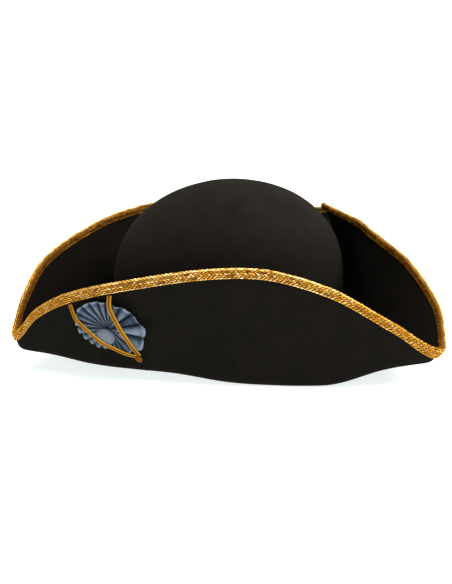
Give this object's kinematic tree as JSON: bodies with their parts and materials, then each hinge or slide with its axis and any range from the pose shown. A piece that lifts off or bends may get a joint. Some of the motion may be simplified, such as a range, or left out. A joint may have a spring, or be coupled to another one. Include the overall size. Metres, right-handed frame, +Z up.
{
  "type": "tricorne hat",
  "caption": "Black felt tricorne hat with a round crown, brim cocked on three sides, gold braid over the edge, and a blue-grey ribbon cockade, button and cord loop on the left flap.",
  "frame": {"origin": "on the surface that the hat stands on, under the middle of its plan", "axes": "+Z up, the front tip towards -X, the wearer's left flap, with the cockade, towards -Y"},
  "size_m": [0.3198, 0.3466, 0.1411],
  "materials": {
    "felt": "matt black wool felt with a short nap",
    "braid": "woven gold-coloured metallic thread, semi-gloss",
    "cockade": "pleated blue-grey ribbon, satin",
    "button": "button covered in grey-blue cloth, satin",
    "cord": "flat twisted gold and amber cord, semi-gloss"
  },
  "bodies": {
    "root": {"felt_hat": "felt", "edge_braid": "braid", "cockade_ribbon": "cockade", "cockade_button": "button", "loop_cord_front": "cord", "loop_cord_rear": "cord", "loop_knot": "cord"}
  },
  "joints": []
}
